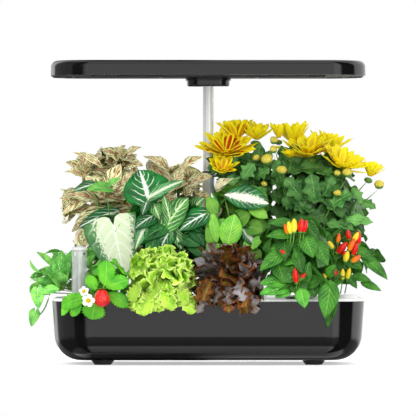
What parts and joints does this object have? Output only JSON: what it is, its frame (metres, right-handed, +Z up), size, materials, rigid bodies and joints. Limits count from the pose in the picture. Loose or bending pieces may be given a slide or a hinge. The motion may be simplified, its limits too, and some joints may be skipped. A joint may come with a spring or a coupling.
{
  "type": "countertop hydroponic garden",
  "caption": "Countertop hydroponic garden: a water tank with a planting deck, planted net baskets, a water gauge and a grow lamp on a telescopic post.",
  "frame": {"origin": "centre of the whole part's footprint, on the surface that it stands on", "axes": "+X to the right seen from the front, +Y to the rear where the lamp post stands, +Z up"},
  "size_m": [0.4571, 0.2613, 0.386],
  "materials": {
    "tank_black": "gloss",
    "foot_rubber": "matte",
    "deck_white": "gloss",
    "trim_black": "gloss",
    "post_metal": "polished",
    "lamp_black": "gloss",
    "lamp_underside": "matte",
    "led_board_white": "satin",
    "led_yellow": "satin",
    "clear_pane": "gloss",
    "screw_steel": "satin",
    "gauge_clear": "gloss",
    "gauge_cap_milky": "satin",
    "float_white": "satin",
    "panel_black": "gloss",
    "button_grey": "matte",
    "pump_black": "satin",
    "impeller_white": "satin",
    "basket_white": "satin",
    "sponge_brown": "matte",
    "leaf_strawberry": "satin",
    "leaf_green_lettuce": "satin",
    "leaf_red_lettuce": "satin",
    "leaf_pepper": "satin",
    "leaf_syngonium": "satin",
    "leaf_caladium": "satin",
    "leaf_dieffenbachia": "satin",
    "leaf_nerve": "satin",
    "petal_yellow": "satin"
  },
  "bodies": {
    "tank": {"tank_shell": "tank_black", "feet": "foot_rubber"},
    "deck": {"deck": "deck_white", "post_base": "trim_black", "post_outer": "post_metal", "post_guide_ring": "trim_black", "gauge_tube": "gauge_clear", "gauge_cap": "gauge_cap_milky", "control_panel": "panel_black", "pump_body": "pump_black"},
    "lamp": {"post_inner": "post_metal", "lamp_collar": "trim_black", "lamp_housing": "lamp_black", "lamp_underplate": "lamp_underside", "lamp_led_board": "led_board_white", "lamp_leds": "led_yellow", "lamp_diffuser": "clear_pane", "lamp_screws": "screw_steel"},
    "float": {"float_stem": "float_white"},
    "button_light": {"button_light": "button_grey"},
    "button_timer": {"button_timer": "button_grey"},
    "button_pump": {"button_pump": "button_grey"},
    "fill_cap": {"fill_cap": "deck_white"},
    "impeller": {"pump_impeller": "impeller_white"},
    "pod_01": {"basket_01": "basket_white", "sponge_01": "sponge_brown", "plant_strawberry": "leaf_strawberry"},
    "pod_02": {"basket_02": "basket_white", "sponge_02": "sponge_brown", "plant_green_lettuce": "leaf_green_lettuce"},
    "pod_03": {"basket_03": "basket_white", "sponge_03": "sponge_brown", "plant_red_lettuce": "leaf_red_lettuce"},
    "pod_04": {"basket_04": "basket_white", "sponge_04": "sponge_brown", "plant_pepper_front": "leaf_pepper"},
    "pod_05": {"basket_05": "basket_white", "sponge_05": "sponge_brown", "plant_syngonium": "leaf_syngonium"},
    "pod_06": {"basket_06": "basket_white", "sponge_06": "sponge_brown", "plant_caladium": "leaf_caladium"},
    "pod_07": {"basket_07": "basket_white", "sponge_07": "sponge_brown", "plant_dieffenbachia": "leaf_dieffenbachia"},
    "pod_08": {"basket_08": "basket_white", "sponge_08": "sponge_brown", "plant_pepper_right": "leaf_pepper"},
    "pod_09": {"basket_09": "basket_white", "sponge_09": "sponge_brown", "plant_nerve_left": "leaf_nerve"},
    "pod_10": {"basket_10": "basket_white", "sponge_10": "sponge_brown", "plant_nerve_right": "leaf_nerve"},
    "pod_11": {"basket_11": "basket_white", "sponge_11": "sponge_brown", "plant_chrysanthemum_left": "petal_yellow"},
    "pod_12": {"basket_12": "basket_white", "sponge_12": "sponge_brown", "plant_chrysanthemum_right": "petal_yellow"}
  },
  "joints": [
    {"name": "deck_lift", "type": "slide", "parent": "tank", "child": "deck", "axis": [0, 0, 1], "range_m": [0, 0.082]},
    {"name": "lamp_slide", "type": "slide", "parent": "deck", "child": "lamp", "axis": [0, 0, 1], "range_m": [-0.04, 0.06]},
    {"name": "float_rise", "type": "slide", "parent": "deck", "child": "float", "axis": [0, 0, 1], "range_m": [-0.028, 0.024]},
    {"name": "button_light_press", "type": "slide", "parent": "deck", "child": "button_light", "axis": [0, 0, -1], "range_m": [0, 0.0012], "stiffness_N_per_m": 900, "springref_m": -0.0006},
    {"name": "button_timer_press", "type": "slide", "parent": "deck", "child": "button_timer", "axis": [0, 0, -1], "range_m": [0, 0.0012], "stiffness_N_per_m": 900, "springref_m": -0.0006},
    {"name": "button_pump_press", "type": "slide", "parent": "deck", "child": "button_pump", "axis": [0, 0, -1], "range_m": [0, 0.0012], "stiffness_N_per_m": 900, "springref_m": -0.0006},
    {"name": "fill_cap_lift", "type": "slide", "parent": "deck", "child": "fill_cap", "axis": [0, 0, 1], "range_m": [0, 0.03]},
    {"name": "impeller_spin", "type": "hinge", "parent": "deck", "child": "impeller", "pos_m": [0.08, -0.042, 0.024], "axis": [0, 1, 0], "continuous": true},
    {"name": "pod_01_lift", "type": "slide", "parent": "deck", "child": "pod_01", "axis": [0, 0, 1], "range_m": [0, 0.042]},
    {"name": "pod_02_lift", "type": "slide", "parent": "deck", "child": "pod_02", "axis": [0, 0, 1], "range_m": [0, 0.042]},
    {"name": "pod_03_lift", "type": "slide", "parent": "deck", "child": "pod_03", "axis": [0, 0, 1], "range_m": [0, 0.042]},
    {"name": "pod_04_lift", "type": "slide", "parent": "deck", "child": "pod_04", "axis": [0, 0, 1], "range_m": [0, 0.042]},
    {"name": "pod_05_lift", "type": "slide", "parent": "deck", "child": "pod_05", "axis": [0, 0, 1], "range_m": [0, 0.042]},
    {"name": "pod_06_lift", "type": "slide", "parent": "deck", "child": "pod_06", "axis": [0, 0, 1], "range_m": [0, 0.042]},
    {"name": "pod_07_lift", "type": "slide", "parent": "deck", "child": "pod_07", "axis": [0, 0, 1], "range_m": [0, 0.042]},
    {"name": "pod_08_lift", "type": "slide", "parent": "deck", "child": "pod_08", "axis": [0, 0, 1], "range_m": [0, 0.042]},
    {"name": "pod_09_lift", "type": "slide", "parent": "deck", "child": "pod_09", "axis": [0, 0, 1], "range_m": [0, 0.042]},
    {"name": "pod_10_lift", "type": "slide", "parent": "deck", "child": "pod_10", "axis": [0, 0, 1], "range_m": [0, 0.042]},
    {"name": "pod_11_lift", "type": "slide", "parent": "deck", "child": "pod_11", "axis": [0, 0, 1], "range_m": [0, 0.042]},
    {"name": "pod_12_lift", "type": "slide", "parent": "deck", "child": "pod_12", "axis": [0, 0, 1], "range_m": [0, 0.042]}
  ]
}
